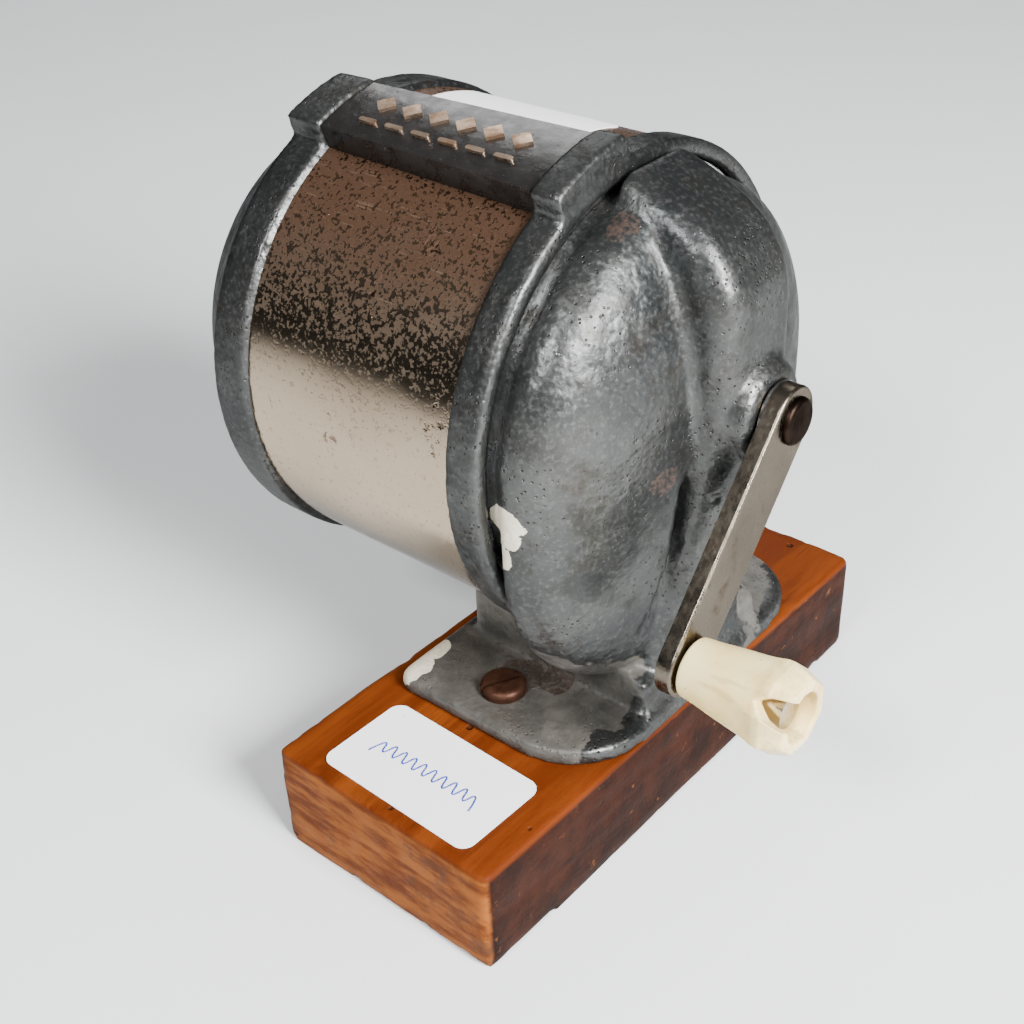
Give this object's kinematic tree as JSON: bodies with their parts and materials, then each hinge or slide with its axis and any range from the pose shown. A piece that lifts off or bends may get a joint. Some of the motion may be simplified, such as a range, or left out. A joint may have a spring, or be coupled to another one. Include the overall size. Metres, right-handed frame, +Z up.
{
  "type": "crank pencil sharpener",
  "caption": "Hand-crank pencil sharpener screwed to a wooden block: round shavings drum with a turning pencil guide, cast housing, planetary cutters and a crank with a flared grip.",
  "frame": {"origin": "middle of the wooden block's underside", "axes": "+X along the drum and crank axis, from the pencil's end to the crank; +Z up; +Y along the block's length, which is turned 1 degree from it"},
  "size_m": [0.1227, 0.1098, 0.1195],
  "materials": {
    "oiled_wood": "stained, worn",
    "paper_label": "matt paper",
    "cast_metal": "hammered cast, worn",
    "rusty_screw": "rusted",
    "bronze": "plain",
    "gear_steel": "machined",
    "cutter_steel": "hardened",
    "plated_steel": "nickel plated, worn",
    "ivory_plastic": "semi-gloss",
    "pin_chrome": "polished",
    "bolt_steel": "dark, rusted",
    "nickel_sheet": "nickel plated, rust specks",
    "black_enamel": "gloss enamel",
    "relief_tan": "worn to metal",
    "spring_steel": "plain",
    "guide_plate": "browned"
  },
  "bodies": {
    "stand": {"wooden_block": "oiled_wood", "block_label": "paper_label", "stand_housing": "cast_metal", "foot_screw_near": "rusty_screw", "foot_screw_far": "rusty_screw", "shaft_bushing": "bronze", "ring_gear": "gear_steel", "gear_screw_1": "gear_steel", "gear_screw_2": "gear_steel", "gear_screw_3": "gear_steel", "thrust_washer": "spring_steel"},
    "crank": {"cutter_carrier": "gear_steel", "crank_shaft": "gear_steel", "cutter_pin_a": "cutter_steel", "cutter_pin_b": "cutter_steel", "crank_arm": "plated_steel", "crank_bolt": "bolt_steel", "handle_pin": "pin_chrome"},
    "cutter_roller_a": {"cutter_a": "cutter_steel"},
    "cutter_roller_b": {"cutter_b": "cutter_steel"},
    "grip": {"handle_grip": "ivory_plastic"},
    "collar": {"collar_spring": "spring_steel"},
    "receptacle": {"receptacle_cap": "cast_metal", "receptacle_shell": "nickel_sheet", "mouth_ring": "cast_metal", "top_strip": "black_enamel", "strip_relief": "relief_tan", "drum_label": "paper_label", "guide_rivet": "plated_steel", "guide_washer": "spring_steel", "detent_spring": "spring_steel"},
    "guide": {"guide_disc": "guide_plate"}
  },
  "joints": [
    {"name": "crank_turn", "type": "hinge", "parent": "stand", "child": "crank", "pos_m": [0, 0.0055, 0.0794], "axis": [1, 0, 0], "continuous": true},
    {"name": "cutter_a_spin", "type": "hinge", "parent": "crank", "child": "cutter_roller_a", "pos_m": [0.0051, 0.0055, 0.0854], "axis": [0.9848, 0, -0.1736], "continuous": true},
    {"name": "cutter_b_spin", "type": "hinge", "parent": "crank", "child": "cutter_roller_b", "pos_m": [0.0051, 0.0055, 0.0734], "axis": [0.9848, 0, 0.1736], "continuous": true},
    {"name": "grip_spin", "type": "hinge", "parent": "crank", "child": "grip", "pos_m": [0.0371, -0.02074, 0.04868], "axis": [1, 0, 0], "continuous": true},
    {"name": "receptacle_twist", "type": "hinge", "parent": "stand", "child": "collar", "pos_m": [0, 0.0055, 0.0744], "axis": [1, 0, 0], "range_deg": [-20, 5]},
    {"name": "receptacle_pull", "type": "slide", "parent": "collar", "child": "receptacle", "axis": [-1, 0, 0], "range_m": [0, 0.045]},
    {"name": "guide_turn", "type": "hinge", "parent": "receptacle", "child": "guide", "pos_m": [-0.0639, 0.00798, 0.06575], "axis": [1, 0, 0], "continuous": true}
  ],
  "couplings": [
    {"joint": "cutter_a_spin", "follows": "crank_turn", "ratio": -2.2},
    {"joint": "cutter_b_spin", "follows": "crank_turn", "ratio": -2.2}
  ]
}
